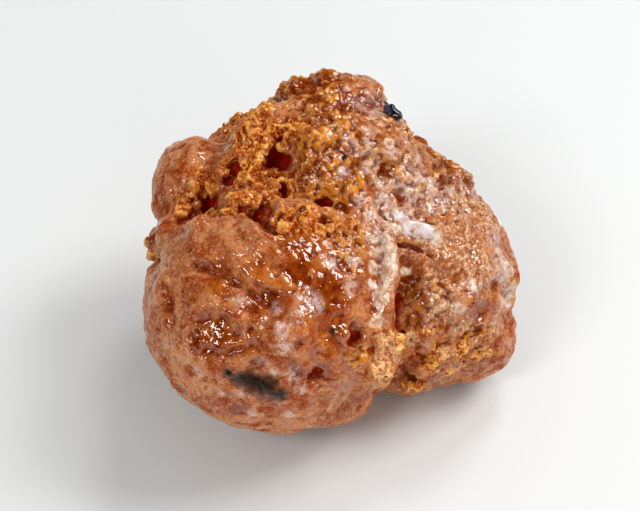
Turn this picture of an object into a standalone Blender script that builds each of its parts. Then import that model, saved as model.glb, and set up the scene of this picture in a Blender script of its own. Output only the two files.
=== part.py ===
"""A glazed cake doughnut hole: one irregular ball of fried dough that split open while it fried.

The ball is described in views. A view looks at the ball's middle from an azimuth and an elevation, and
its three sizes are millimetres to the right, up and out towards the eye. Rounded lobes of dough are
fused first, lumps of crust and crumb are added, then the splits and the pores are cut out. Bits of
berry and thick glaze are fused on last.
"""

from math import ceil, cos, radians, sin, sqrt, tau
from random import Random

import bmesh
import bpy
from mathutils import Matrix, Vector, noise
from mathutils.bvhtree import BVHTree

MM = 0.001

# The ball's middle is this far above the flat spot that it rests on.
REST_DEPTH = 16.0

# Sizes of the mesh: the fused dough, the carved dough, the cutter, and the triangles that are kept.
DOUGH_CELL = 0.62
CARVED_CELL = 0.5
CUTTER_CELL = 0.4
TRIANGLES = 9200

# Rounds of softening: where lobes meet, round the foot of a lump, and on the edge of a cut.
LOBE_SMOOTHING = 7
LUMP_SMOOTHING = 1
CARVED_SMOOTHING = 1
SOFTENING = 0.5

# Slow waves of the crust, and its crags, which are higher where it is torn. A torn place is fully torn
# out to this share of its radius.
WAVE_SIZE, WAVE_HEIGHT = 6.0, 0.7
CRAG_SIZE, CRAG_HEIGHT, TORN_CRAG_HEIGHT = 2.3, 0.3, 0.8
FULLY_TORN_SHARE = 0.5

# Small pits pepper each torn place out to this share of its radius.
PITS_PER_PLACE = 16
PIT_REACH_SHARE = 0.8
PIT_RADIUS = (0.35, 0.75)
PIT_DEPTH = (0.8, 2.0)
PIT_SEED = 7

# A split is cut by a row of ellipsoids, whose width wavers by a share of itself.
SPLIT_STEP = 0.6
WAVER_SIZE, WAVER_SHARE = 0.9, 0.4

# The eye's distance from the ball's middle in every view.
EYE_DISTANCE = 190.0

CRUST_COLOUR = (0.36, 0.13, 0.045, 1.0)
CRUST_ROUGHNESS = 0.32

# A view's azimuth goes round from the front, as seen from above, and its elevation goes up from the floor.
VIEWS = {
    "front": (0.0, 45.0),
    "left": (-78.0, 12.0),
    "right": (84.0, 14.0),
    "back": (182.0, 24.0),
    "top": (0.0, 90.0),
}

# Lobes: view, then right, up and out of the middle, then the radii along the same directions.
LOBES = {
    "core": ("front", (0.0, -1.0, -3.0), (14.0, 13.4, 13.6)),
    "front_lobe": ("front", (-6.2, -6.1, 4.6), (13.4, 12.9, 12.0)),
    "front_cheek": ("front", (-4.0, -7.6, 8.9), (5.6, 5.2, 8.4)),
    "front_swell_left": ("front", (-12.4, -7.4, 7.6), (4.6, 5.0, 7.8)),
    "front_swell_low": ("front", (-8.4, -11.6, 8.0), (5.0, 3.6, 7.7)),
    "front_brow_left": ("front", (-15.3, 0.4, 1.6), (4.6, 3.8, 6.6)),
    "front_brow_right": ("front", (1.6, -1.6, 7.0), (4.6, 3.6, 5.2)),
    "front_flank": ("front", (1.9, -8.8, 5.4), (5.0, 7.0, 7.2)),
    "front_chin": ("front", (-0.5, -14.5, 3.2), (5.2, 4.4, 6.6)),
    "right_lobe": ("front", (7.5, -3.0, -2.8), (12.9, 12.3, 12.0)),
    "right_corner": ("front", (14.9, -8.8, -3.4), (5.6, 5.4, 6.6)),
    "right_underside": ("front", (8.0, -10.8, -5.0), (5.0, 4.8, 6.0)),
    "right_brow": ("front", (10.3, 4.1, -1.9), (5.6, 5.4, 6.0)),
    "upper_body": ("front", (-0.8, 7.2, -1.6), (11.4, 10.2, 10.8)),
    "peak": ("front", (-0.3, 14.0, -3.0), (5.6, 5.8, 6.4)),
    "peak_left": ("front", (-4.3, 16.4, -3.6), (2.3, 2.9, 3.6)),
    "peak_right": ("front", (2.8, 16.2, -3.2), (3.2, 3.2, 4.4)),
    "left_lobe": ("front", (-14.8, 7.0, -3.6), (4.7, 5.6, 6.6)),
    "brow_bump": ("front", (13.4, 8.0, -2.0), (1.9, 1.8, 1.9)),
    "edge_bump_high": ("front", (16.8, 1.6, -2.4), (2.3, 2.2, 2.6)),
    "edge_bump_low": ("front", (17.5, -2.8, -2.4), (2.4, 2.8, 2.8)),
    "far_crumb_high": ("front", (-9.4, 13.6, -8.6), (2.2, 2.0, 2.2)),
    "far_crumb_low": ("front", (-11.6, 11.8, -8.0), (2.8, 2.4, 2.8)),
    "back_lobe": ("back", (-4.5, -2.5, 5.4), (10.6, 9.6, 8.8)),
    "back_shoulder": ("back", (7.0, 1.0, 4.0), (8.0, 8.4, 8.0)),
    "back_knob": ("back", (3.5, -9.0, 6.5), (5.6, 4.8, 5.0)),
    "left_knob": ("left", (7.0, -7.4, 9.9), (5.2, 4.8, 4.4)),
    "right_knob": ("right", (6.5, -5.5, 13.0), (5.4, 5.0, 4.2)),
    "foot": ("top", (-0.6, -0.8, -9.6), (11.4, 10.4, 7.6)),
}

# Torn places, where crumb shows and the crags are high: view, right, up and radius.
TORN_PLACES = {
    "torn_top": ("front", -4.0, 8.6, 8.5),
    "torn_shoulder": ("front", 8.5, 6.0, 6.5),
    "torn_flank": ("front", 9.5, -9.0, 5.5),
    "torn_seam": ("front", -11.6, 4.8, 4.0),
    "torn_back": ("back", -1.0, -4.0, 6.0),
    "torn_left": ("left", -1.0, -2.6, 5.0),
    "torn_right": ("right", -2.0, -6.6, 5.5),
}

# Lumps that stand on the surface: view, right, up, radius across, radius up, height.
LUMPS = {
    "crumb_knob_left": ("front", -10.2, 5.2, 1.3, 1.3, 2.0),
    "crumb_pillar": ("front", -5.7, 4.7, 0.8, 1.5, 2.0),
    "crumb_knob_right": ("front", -2.9, 3.9, 1.7, 1.6, 2.3),
    "crumb_ridge": ("front", -0.2, 3.0, 1.6, 1.0, 1.6),
    "lip_left": ("front", -13.8, 3.0, 1.8, 0.9, 1.3),
    "lip_middle": ("front", -11.2, 3.9, 1.8, 0.9, 1.6),
    "lip_right": ("front", -8.4, 2.6, 1.5, 1.0, 1.4),
    "corner_tip": ("front", 5.9, 0.7, 1.0, 1.3, 1.9),
    "flank_ridge_high": ("front", 6.3, -2.2, 0.9, 2.4, 1.8),
    "flank_ridge_low": ("front", 5.8, -5.4, 0.9, 2.0, 1.4),
    "flank_crumbs_high": ("front", 6.4, -9.6, 1.5, 1.9, 2.0),
    "flank_crumbs_low": ("front", 5.0, -12.8, 1.6, 1.9, 1.6),
    "crumb_tongue": ("front", 8.8, -8.9, 1.4, 0.9, 2.2),
    "foot_crumbs": ("front", 9.2, -14.2, 1.5, 0.8, 1.4),
    "gap_brow": ("front", 10.6, 2.0, 2.2, 1.0, 1.3),
    "top_lump_left": ("front", -9.0, 12.8, 1.8, 1.6, 1.4),
    "top_lump_middle": ("front", -1.8, 12.0, 2.2, 1.5, 1.3),
    "top_lump_right": ("front", 5.4, 10.6, 2.0, 1.7, 1.4),
    "shoulder_lump_high": ("front", 9.4, 6.6, 1.8, 1.5, 1.3),
    "shoulder_lump_low": ("front", 12.8, 2.6, 2.0, 1.8, 1.0),
    "right_lump": ("front", 13.8, -5.4, 2.2, 1.8, 1.0),
    "back_lump_high": ("back", -9.6, -2.6, 2.6, 2.2, 1.4),
    "back_lump_low": ("back", 6.4, -7.4, 2.4, 2.0, 1.2),
    "right_side_lump": ("right", 4.6, 3.4, 2.6, 2.2, 1.2),
}

# Pores: view, right, up, radius across, radius up, depth.
PORES = {
    "great_pore": ("front", -5.5, 9.8, 1.45, 1.4, 4.8),
    "small_pore": ("front", -6.2, 12.3, 0.6, 0.6, 2.0),
    "left_pore": ("front", -10.2, 8.8, 0.75, 0.75, 2.4),
    "low_pore": ("front", -11.1, 7.4, 0.9, 0.6, 2.2),
    "seam_cave": ("front", -13.3, 5.2, 1.3, 1.5, 3.8),
    "slot_high": ("front", -5.1, 6.2, 0.6, 1.4, 3.4),
    "slot_low": ("front", -7.3, 4.2, 0.75, 2.1, 4.2),
    "knob_pit": ("front", -0.5, 3.6, 0.8, 0.7, 2.2),
    "flank_pit_high": ("front", 7.1, -5.0, 0.6, 1.1, 2.2),
    "flank_pit_low": ("front", 6.7, -7.9, 0.7, 0.7, 2.2),
    "undercut_pit": ("front", 9.0, -11.0, 0.8, 0.8, 2.2),
    "berry_pit": ("front", 2.4, -8.7, 1.0, 1.3, 1.5),
    "front_pit": ("front", -1.5, -13.1, 0.9, 0.8, 1.3),
    "front_hollow": ("front", -9.8, -8.4, 1.6, 0.9, 0.5),
    "front_dimple": ("front", -6.6, -4.6, 1.8, 0.8, 0.6),
    "back_pore": ("back", 3.4, -2.0, 1.2, 1.0, 3.4),
    "back_pore_small": ("back", -2.6, -2.6, 0.7, 0.6, 2.2),
    "left_pore_high": ("left", -3.2, -0.6, 0.9, 0.8, 2.6),
    "right_pore": ("right", -2.8, -6.4, 0.9, 0.9, 2.4),
}

# Splits: view, then points of right, up, half width and depth along the split.
SPLITS = {
    "main_split": ("front", [
        (-18.6, 3.0, 0.5, 1.0), (-16.2, 3.4, 0.7, 1.8), (-13.2, 4.4, 1.2, 3.4), (-10.8, 4.9, 0.8, 2.6),
        (-8.4, 3.8, 0.9, 3.4), (-6.6, 2.2, 0.8, 2.4), (-4.8, 1.7, 0.5, 1.2),
    ]),
    "seam_split": ("front", [(-13.0, 6.0, 0.7, 2.4), (-11.4, 7.6, 0.6, 1.8), (-10.4, 8.8, 0.4, 1.0)]),
    "left_lobe_crease": ("front", [(-12.0, 11.0, 0.5, 1.0), (-13.6, 8.6, 0.6, 1.4), (-14.4, 6.0, 0.5, 1.4)]),
    "ledge_slit": ("front", [(-2.6, 4.9, 0.4, 1.6), (-0.6, 5.4, 0.6, 2.6), (1.6, 5.8, 0.4, 1.4)]),
    "peak_crease": ("front", [(-5.6, 14.2, 0.5, 0.8), (-2.6, 14.6, 0.6, 1.0), (1.0, 14.4, 0.5, 0.8)]),
    "pool_gap": ("front", [(6.8, 0.9, 0.4, 1.6), (9.0, 0.6, 0.6, 2.0), (11.2, -0.6, 0.4, 1.0)]),
    "shoulder_crease": ("front", [(6.4, 9.4, 0.5, 0.8), (7.4, 6.0, 0.6, 1.0), (6.6, 3.0, 0.5, 0.8)]),
    "flank_step": ("front", [
        (8.2, -0.6, 0.9, 0.9), (8.7, -3.4, 1.3, 1.5), (8.4, -6.6, 1.2, 1.8), (8.6, -10.6, 1.0, 1.8),
    ]),
    "undercut": ("front", [(9.4, -10.8, 0.8, 1.6), (7.6, -12.6, 1.0, 2.6), (6.4, -14.2, 0.9, 3.0)]),
    "right_crease": ("front", [(10.0, -12.0, 0.6, 1.0), (13.0, -9.8, 0.6, 1.1), (15.6, -8.6, 0.5, 0.9)]),
    "edge_crease": ("front", [(15.4, 3.2, 0.4, 0.8), (15.0, -0.4, 0.5, 1.0), (16.6, -5.0, 0.5, 0.9)]),
    "front_fold": ("front", [(-13.4, -2.4, 0.4, 0.5), (-9.8, -3.2, 0.5, 0.8), (-6.4, -4.0, 0.4, 0.5)]),
    "back_split": ("back", [
        (-7.0, 1.6, 0.4, 1.0), (-4.6, -1.8, 0.7, 2.0), (-2.4, -4.6, 1.0, 2.6), (0.2, -6.4, 0.7, 2.0),
        (1.8, -9.6, 0.4, 1.0),
    ]),
    "left_split": ("left", [
        (-4.2, -6.4, 0.4, 1.0), (-2.2, -3.0, 0.8, 2.0), (0.6, -1.0, 0.6, 1.6), (2.0, 1.6, 0.4, 0.8),
    ]),
    "right_split": ("right", [
        (-5.6, -2.4, 0.4, 0.9), (-3.0, -5.4, 0.7, 1.8), (-1.8, -8.4, 0.8, 1.8), (1.2, -10.4, 0.4, 0.9),
    ]),
}

# Bits fused on: view, right, up, radius across, radius up, height, and how far they are turned.
BERRY_BITS = {
    "berry_shiny": ("front", 6.3, 14.3, 0.95, 0.75, 0.8, -35.0),
    "berry_smear": ("front", -7.0, -14.1, 2.3, 0.8, 0.35, -17.0),
    "berry_speck_high": ("front", 1.9, 10.0, 0.6, 0.5, 0.5, 20.0),
    "berry_speck_right": ("front", 12.9, 6.6, 0.6, 0.45, 0.5, -30.0),
    "berry_speck_low": ("front", -14.0, -13.3, 0.5, 0.4, 0.4, 10.0),
    "berry_in_pit": ("front", 1.1, -8.9, 0.8, 0.6, 0.8, 30.0),
    "berry_back": ("back", -4.6, -8.4, 1.3, 0.8, 0.5, 25.0),
    "berry_left": ("left", -3.0, -8.0, 1.1, 0.7, 0.5, -20.0),
    "berry_right": ("right", 3.2, 0.6, 1.0, 0.7, 0.6, 40.0),
}
GLAZE_BITS = {
    "glaze_pool": ("front", 8.9, 2.5, 1.9, 1.1, 0.5, -12.0),
    "glaze_ridge": ("front", 5.9, -2.2, 0.6, 3.2, 0.5, 4.0),
    "glaze_streak": ("front", 17.4, -3.6, 0.6, 2.2, 0.5, 8.0),
    "glaze_back": ("back", 0.6, 2.2, 1.6, 0.9, 0.5, 15.0),
}


def view_matrix(view):
    """Turns right, up and out in a view, in millimetres, into the ball's own X, Y and Z in metres."""
    azimuth, elevation = VIEWS[view]
    turn = Matrix.Rotation(radians(azimuth), 4, "Z") @ Matrix.Rotation(radians(90.0 - elevation), 4, "X")
    return turn @ Matrix.Scale(MM, 4)


def add_ellipsoid(shape, view, centre, radii, turned=0.0, subdivisions=4):
    """Adds a closed ellipsoid that is turned about the line to the eye, in degrees."""
    place = view_matrix(view) @ Matrix.Translation(centre) @ Matrix.Rotation(radians(turned), 4, "Z")
    place = place @ Matrix.Diagonal((*radii, 1.0))
    bmesh.ops.create_icosphere(shape, subdivisions=subdivisions, radius=1.0, matrix=place)


def object_from(shape, name):
    mesh = bpy.data.meshes.new(name)
    shape.to_mesh(mesh)
    shape.free()
    made = bpy.data.objects.new(name, mesh)
    bpy.context.scene.collection.objects.link(made)
    return made


def apply_modifiers(made):
    """Puts what an object's modifiers make of its mesh in the mesh's place."""
    bpy.context.view_layer.update()
    depsgraph = bpy.context.evaluated_depsgraph_get()
    old = made.data
    made.data = bpy.data.meshes.new_from_object(made.evaluated_get(depsgraph))
    made.modifiers.clear()
    bpy.data.meshes.remove(old)


def fuse(made, cell, smoothing):
    """Fuses overlapping closed shapes into one skin of small squares, softened where they meet."""
    remesh = made.modifiers.new("fuse", "REMESH")
    remesh.mode = "VOXEL"
    remesh.voxel_size = cell * MM
    if smoothing:
        soften = made.modifiers.new("soften", "SMOOTH")
        soften.factor = SOFTENING
        soften.iterations = smoothing
    apply_modifiers(made)


class Surface:
    """Finds where the ball's surface lies under a place in a view."""

    def __init__(self, made):
        bpy.context.view_layer.update()
        depsgraph = bpy.context.evaluated_depsgraph_get()
        self.tree = BVHTree.FromObject(made, depsgraph)

    def under(self, view, right, up):
        """The surface point that the eye sees at right and up, as right, up and out in that view."""
        matrix = view_matrix(view)
        eye = matrix @ Vector((0.0, 0.0, EYE_DISTANCE))
        aim = matrix @ Vector((right, up, 0.0))
        hit = self.tree.ray_cast(eye, (aim - eye).normalized())[0]
        if hit is None:
            raise ValueError(f"nothing of the ball lies at {right}, {up} in the {view} view")
        return matrix.inverted() @ hit


def torn_share(place, spots):
    """How torn the crust is at a place: 1 in the middle of a torn place, 0 outside them all."""
    share = 0.0
    for middle, radius in spots:
        share = max(share, 1.0 - (place - middle).length / radius)
    return min(1.0, share / (1.0 - FULLY_TORN_SHARE))


def roughen(made):
    """Moves the skin along its normals by slow waves and finer crags."""
    surface = Surface(made)
    spots = []
    for view, right, up, radius in TORN_PLACES.values():
        middle = view_matrix(view) @ surface.under(view, right, up)
        spots.append((middle / MM, radius))
    for vertex in made.data.vertices:
        place = vertex.co / MM
        torn = torn_share(place, spots)
        crag_height = CRAG_HEIGHT + (TORN_CRAG_HEIGHT - CRAG_HEIGHT) * torn
        wave = noise.noise(place / WAVE_SIZE) * WAVE_HEIGHT
        crag = noise.noise(place / CRAG_SIZE) * crag_height
        vertex.co += vertex.normal * (wave + crag) * MM


def add_lumps(made):
    surface = Surface(made)
    lumps = bmesh.new()
    lumps.from_mesh(made.data)
    for view, right, up, across, tall, height in LUMPS.values():
        foot = surface.under(view, right, up)
        add_ellipsoid(lumps, view, foot, (across, tall, height), subdivisions=2)
    lumps.to_mesh(made.data)
    lumps.free()
    fuse(made, CARVED_CELL, LUMP_SMOOTHING)


def split_steps(points):
    """Places along a split, a short step apart, between the points that its shape needs."""
    for start, end in zip(points, points[1:]):
        count = max(1, ceil((Vector(end[:2]) - Vector(start[:2])).length / SPLIT_STEP))
        for i in range(count):
            share = i / count
            yield [a + (b - a) * share for a, b in zip(start, end)]
    yield list(points[-1])


def add_pits(shape, surface):
    """Peppers the torn places with pits, spread evenly over each round place."""
    chance = Random(PIT_SEED)
    for view, right, up, radius in TORN_PLACES.values():
        for _ in range(PITS_PER_PLACE):
            turn = chance.uniform(0.0, tau)
            reach = PIT_REACH_SHARE * radius * sqrt(chance.random())
            width = chance.uniform(*PIT_RADIUS)
            depth = chance.uniform(*PIT_DEPTH)
            mouth = surface.under(view, right + reach * cos(turn), up + reach * sin(turn))
            add_ellipsoid(shape, view, mouth, (width, width, depth), subdivisions=2)


def cutters(made):
    """One closed shape of all the splits, pores and pits, sunk from wherever the surface lies."""
    surface = Surface(made)
    shape = bmesh.new()
    add_pits(shape, surface)
    for view, right, up, across, tall, depth in PORES.values():
        mouth = surface.under(view, right, up)
        add_ellipsoid(shape, view, mouth, (across, tall, depth), subdivisions=3)
    for view, points in SPLITS.values():
        for right, up, half_width, depth in split_steps(points):
            waver = noise.noise(Vector((right, up, 0.0)) / WAVER_SIZE)
            width = half_width * (1.0 + WAVER_SHARE * waver)
            mouth = surface.under(view, right, up)
            add_ellipsoid(shape, view, mouth, (width, width, depth), subdivisions=2)
    cutter = object_from(shape, "cutter")
    fuse(cutter, CUTTER_CELL, 0)
    return cutter


def carve(made):
    cutter = cutters(made)
    boolean = made.modifiers.new("carve", "BOOLEAN")
    boolean.operation = "DIFFERENCE"
    boolean.solver = "EXACT"
    boolean.object = cutter
    apply_modifiers(made)
    bpy.data.objects.remove(cutter)
    fuse(made, CARVED_CELL, CARVED_SMOOTHING)


def keep_whole_skin(made):
    """Drops loose scraps and fills sealed hollows, by keeping the skin with the most points."""
    shape = bmesh.new()
    shape.from_mesh(made.data)
    left = set(shape.verts)
    skins = []
    while left:
        front = [left.pop()]
        skin = list(front)
        while front:
            near = {edge.other_vert(vertex) for vertex in front for edge in vertex.link_edges}
            front = list(near & left)
            left.difference_update(front)
            skin.extend(front)
        skins.append(skin)
    skins.sort(key=len)
    for skin in skins[:-1]:
        bmesh.ops.delete(shape, geom=skin, context="VERTS")
    shape.to_mesh(made.data)
    shape.free()


def thin_out(made):
    """Keeps the triangles where the surface bends and merges them where it is plain."""
    decimate = made.modifiers.new("thin", "DECIMATE")
    triangles = sum(len(face.vertices) - 2 for face in made.data.polygons)
    decimate.ratio = min(1.0, TRIANGLES / triangles)
    decimate.use_collapse_triangulate = True
    apply_modifiers(made)


def join_bits(made):
    """Fuses the bits of berry and glaze onto the dough with one Boolean union."""
    surface = Surface(made)
    bits = bpy.data.collections.new("bits")
    bpy.context.scene.collection.children.link(bits)
    for name, (view, right, up, across, tall, height, turned) in (BERRY_BITS | GLAZE_BITS).items():
        shape = bmesh.new()
        foot = surface.under(view, right, up)
        add_ellipsoid(shape, view, foot, (across, tall, height), turned, subdivisions=2)
        bit = object_from(shape, name)
        bpy.context.scene.collection.objects.unlink(bit)
        bits.objects.link(bit)
    union = made.modifiers.new("join", "BOOLEAN")
    union.operation = "UNION"
    union.solver = "EXACT"
    union.operand_type = "COLLECTION"
    union.collection = bits
    apply_modifiers(made)
    for bit in list(bits.objects):
        bpy.data.objects.remove(bit)
    bpy.data.collections.remove(bits)


def flatten_foot(made):
    """Cuts the small flat spot and moves the origin to the middle of the base."""
    shape = bmesh.new()
    shape.from_mesh(made.data)
    geometry = shape.verts[:] + shape.edges[:] + shape.faces[:]
    floor = Vector((0.0, 0.0, -REST_DEPTH * MM))
    upward = Vector((0.0, 0.0, 1.0))
    cut = bmesh.ops.bisect_plane(shape, geom=geometry, plane_co=floor, plane_no=upward, clear_inner=True)
    rim = [edge for edge in cut["geom_cut"] if isinstance(edge, bmesh.types.BMEdge)]
    bmesh.ops.contextual_create(shape, geom=rim)
    low = Vector([min(vertex.co[i] for vertex in shape.verts) for i in range(3)])
    high = Vector([max(vertex.co[i] for vertex in shape.verts) for i in range(3)])
    foot = Vector(((low.x + high.x) / 2, (low.y + high.y) / 2, low.z))
    bmesh.ops.translate(shape, vec=-foot, verts=shape.verts)
    print("middle in mm", [round(-side / MM, 2) for side in foot])
    bmesh.ops.triangulate(shape, faces=shape.faces)
    bmesh.ops.recalc_face_normals(shape, faces=shape.faces)
    shape.to_mesh(made.data)
    shape.free()


def crust_material():
    material = bpy.data.materials.new("fried_crust")
    material.use_nodes = True
    shader = material.node_tree.nodes["Principled BSDF"]
    shader.inputs["Base Color"].default_value = CRUST_COLOUR
    shader.inputs["Roughness"].default_value = CRUST_ROUGHNESS
    shader.inputs["Metallic"].default_value = 0.0
    return material


def build_doughnut_hole():
    dough = bmesh.new()
    for view, centre, radii in LOBES.values():
        add_ellipsoid(dough, view, centre, radii)
    ball = object_from(dough, "doughnut_hole")
    fuse(ball, DOUGH_CELL, LOBE_SMOOTHING)
    roughen(ball)
    add_lumps(ball)
    carve(ball)
    keep_whole_skin(ball)
    thin_out(ball)
    join_bits(ball)
    flatten_foot(ball)
    ball.data.materials.clear()
    ball.data.materials.append(crust_material())
    ball.data.shade_smooth()
    return ball


def main():
    for old in list(bpy.data.objects):
        bpy.data.objects.remove(old)
    ball = build_doughnut_hole()
    sides = [round(side / MM, 1) for side in ball.dimensions]
    print(ball.name, "triangles", len(ball.data.polygons), "size in mm", sides)


main()
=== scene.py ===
# %% [markdown]
# # A glazed cake doughnut hole
# A doughnut hole is a small ball of cake dough that is fried and then dipped in sugar glaze. This one split
# open while it fried, so it has three kinds of surface: a smooth crust under a milky film of glaze, torn
# golden crumb with holes in it, and crumb that is soaked in clear glaze and glitters.
# The solid part already holds the lobes, the splits and the deep pores. This lesson carves the foam of the
# crumb, moves the skin by the finer relief, and paints every finish in its place.

# %% Load the solid part
from functools import partial
from math import cos, radians, sin

import bmesh
import bpy
import numpy as np
from mathutils import Matrix, Vector, noise
from mathutils.bvhtree import BVHTree


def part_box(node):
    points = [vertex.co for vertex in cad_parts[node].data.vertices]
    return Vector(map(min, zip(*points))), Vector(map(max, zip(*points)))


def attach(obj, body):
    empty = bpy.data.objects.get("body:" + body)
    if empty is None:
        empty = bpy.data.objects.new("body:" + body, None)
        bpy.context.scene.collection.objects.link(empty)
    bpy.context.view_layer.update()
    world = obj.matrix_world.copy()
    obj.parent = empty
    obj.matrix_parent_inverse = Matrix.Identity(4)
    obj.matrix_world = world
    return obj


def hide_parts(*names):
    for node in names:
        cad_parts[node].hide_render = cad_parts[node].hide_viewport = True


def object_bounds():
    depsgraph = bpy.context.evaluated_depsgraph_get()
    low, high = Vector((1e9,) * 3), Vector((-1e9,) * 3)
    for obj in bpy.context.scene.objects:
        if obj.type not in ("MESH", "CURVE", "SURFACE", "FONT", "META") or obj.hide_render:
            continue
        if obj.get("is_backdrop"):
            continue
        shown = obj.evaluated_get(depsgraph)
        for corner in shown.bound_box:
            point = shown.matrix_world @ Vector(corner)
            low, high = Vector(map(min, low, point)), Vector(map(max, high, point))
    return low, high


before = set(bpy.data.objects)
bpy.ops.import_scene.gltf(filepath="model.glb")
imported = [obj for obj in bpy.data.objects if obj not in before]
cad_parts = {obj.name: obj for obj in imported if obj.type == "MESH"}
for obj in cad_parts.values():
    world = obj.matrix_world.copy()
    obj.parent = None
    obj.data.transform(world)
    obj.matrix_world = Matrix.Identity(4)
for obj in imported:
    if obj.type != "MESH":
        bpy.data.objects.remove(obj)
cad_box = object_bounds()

MM = 0.001
SOLID = "doughnut_hole"
low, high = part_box(SOLID)
print("solid part in mm:", [round(side / MM, 1) for side in high - low])

# %% [markdown]
# ## Helpers for nodes
# Colours are written as sRGB hex, but a renderer adds light, so one function turns them to linear. Another
# adds a node, sets its properties and fills its sockets: a value is typed in, and another node's socket is
# linked. The rest put nodes together for a purpose: arithmetic on several values, a mask that says where a
# coat shows, and coats of colour laid over one another.

# %% Colours and nodes


def linear(colour):
    """Turns an sRGB colour such as #a45a32 to a linear one, and leaves another node's socket as it is."""
    if not isinstance(colour, str):
        return colour
    shares = [int(colour[i:i + 2], 16) / 255 for i in (1, 3, 5)]
    return tuple(s / 12.92 if s <= 0.04045 else ((s + 0.055) / 1.055) ** 2.4 for s in shares) + (1.0,)


def fill(tree, node, sockets):
    """Types in a node's numbers and colours, or links other nodes to them."""
    for key, value in sockets.items():
        if isinstance(value, bpy.types.NodeSocket):
            tree.links.new(value, node.inputs[key])
        else:
            node.inputs[key].default_value = value


def add_node(tree, kind, sockets=None, **settings):
    """Adds a node, sets its properties, and fills its sockets, given by name or number."""
    made = tree.nodes.new(kind)
    for name, value in settings.items():
        setattr(made, name, value)
    fill(tree, made, sockets or {})
    return made


def combine(tree, operation, value, *others):
    """Works one value out of several, with one step of arithmetic after another."""
    for other in others:
        value = add_node(tree, "ShaderNodeMath", {0: value, 1: other}, operation=operation).outputs[0]
    return value


def stored(tree, *names):
    """Reads numbers that are stored on the skin, in a material or in a Geometry Nodes tree."""
    if tree.type == "SHADER":
        return [add_node(tree, "ShaderNodeAttribute", attribute_name=name).outputs["Fac"] for name in names]
    kind = "GeometryNodeInputNamedAttribute"
    return [add_node(tree, kind, {"Name": name}, data_type="FLOAT").outputs[0] for name in names]


def cloud(tree, size, detail=2.0, distortion=0.0):
    """A cloudy pattern with clouds about size mm wide, which keeps its place on the piece."""
    where = tree.nodes.get("where") or add_node(tree, "ShaderNodeTexCoord", name="where")
    return add_node(tree, "ShaderNodeTexNoise", {
        "Vector": where.outputs["Object"], "Scale": 1 / (size * MM),
        "Detail": detail, "Distortion": distortion,
    }).outputs[0]


def mask(tree, source, start, end, low=0.0, high=1.0, rise="SMOOTHSTEP"):
    """A share that goes from low to high as its source goes from start to end. The source is another node's
    value, or the size, detail and distortion of a cloudy pattern."""
    if isinstance(source, tuple):
        source = cloud(tree, *source)
    return add_node(tree, "ShaderNodeMapRange", {0: source, 1: start, 2: end, 3: low, 4: high},
                    interpolation_type=rise).outputs[0]


def paint(tree, colour, *coats):
    """Lays coats over a colour. Each coat is the share of it that shows, and its own colour."""
    for share, coat in coats:
        ends = {0: share, 6: linear(colour), 7: linear(coat)}
        colour = add_node(tree, "ShaderNodeMix", ends, data_type="RGBA").outputs[2]
    return colour


def new_material(name):
    material = bpy.data.materials.new(name)
    material.use_nodes = True
    return material, material.node_tree, material.node_tree.nodes["Principled BSDF"]


# %% [markdown]
# ## Helpers for shapes
# Geometry Nodes and modifiers build the shapes, and each result is turned to a plain mesh, which every
# exporter understands. Where many points move at once, numpy does it, on all of them as one array.

# %% Trees, meshes and points
MOST_STORED = 10


def new_geometry_tree(name, sizes):
    """Starts a Geometry Nodes tree with one mesh input and a named number input for each size."""
    tree = bpy.data.node_groups.new(name, "GeometryNodeTree")
    tree.interface.new_socket("Geometry", in_out="INPUT", socket_type="NodeSocketGeometry")
    tree.interface.new_socket("Geometry", in_out="OUTPUT", socket_type="NodeSocketGeometry")
    for size, value in sizes.items():
        kind = "NodeSocketInt" if isinstance(value, int) else "NodeSocketFloat"
        tree.interface.new_socket(size, in_out="INPUT", socket_type=kind).default_value = value
    return tree, add_node(tree, "NodeGroupInput").outputs, add_node(tree, "NodeGroupOutput")


def end_geometry_tree(tree, result, geometry, material):
    """Ends a Geometry Nodes tree: real geometry in place of instances, and the material that it wears."""
    real = add_node(tree, "GeometryNodeRealizeInstances", {0: geometry})
    dressed = add_node(tree, "GeometryNodeSetMaterial", {"Geometry": real.outputs[0], "Material": material})
    fill(tree, result, {0: dressed.outputs[0]})


def new_object(name, mesh):
    made = bpy.data.objects.new(name, mesh)
    bpy.context.scene.collection.objects.link(made)
    return made


def finished_object(name, shape):
    """Turns a bmesh into an object and its mesh."""
    mesh = bpy.data.meshes.new(name)
    shape.to_mesh(mesh)
    shape.free()
    return new_object(name, mesh)


def dress(piece, material):
    piece.data.materials.clear()
    piece.data.materials.append(material)
    piece.data.shade_smooth()


def evaluated_mesh(carrier):
    """The plain mesh that an object's modifiers make."""
    bpy.context.view_layer.update()
    depsgraph = bpy.context.evaluated_depsgraph_get()
    return bpy.data.meshes.new_from_object(carrier.evaluated_get(depsgraph))


def apply_modifiers(made):
    old = made.data
    made.data = evaluated_mesh(made)
    made.modifiers.clear()
    bpy.data.meshes.remove(old)


def grow(carrier, tree, sizes):
    """Runs a Geometry Nodes tree on an object with these sizes and gives back the mesh that it makes."""
    modifier = carrier.modifiers.new(tree.name, "NODES")
    modifier.node_group = tree
    identifiers = {item.name: item.identifier for item in tree.interface.items_tree if item.in_out == "INPUT"}
    for size, value in sizes.items():
        modifier[identifiers[size]] = value
    mesh = evaluated_mesh(carrier)
    carrier.modifiers.remove(modifier)
    return mesh


def smooth(made, rounds, factor=0.5):
    soften = made.modifiers.new("soften", "SMOOTH")
    soften.factor, soften.iterations = factor, rounds


def remesh(made, cell, rounds):
    """Gives an object a fresh even skin of small squares, and softens it by some rounds of smoothing."""
    skin = made.modifiers.new("skin", "REMESH")
    skin.mode, skin.voxel_size = "VOXEL", cell * MM
    if rounds:
        smooth(made, rounds)
    apply_modifiers(made)


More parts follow.
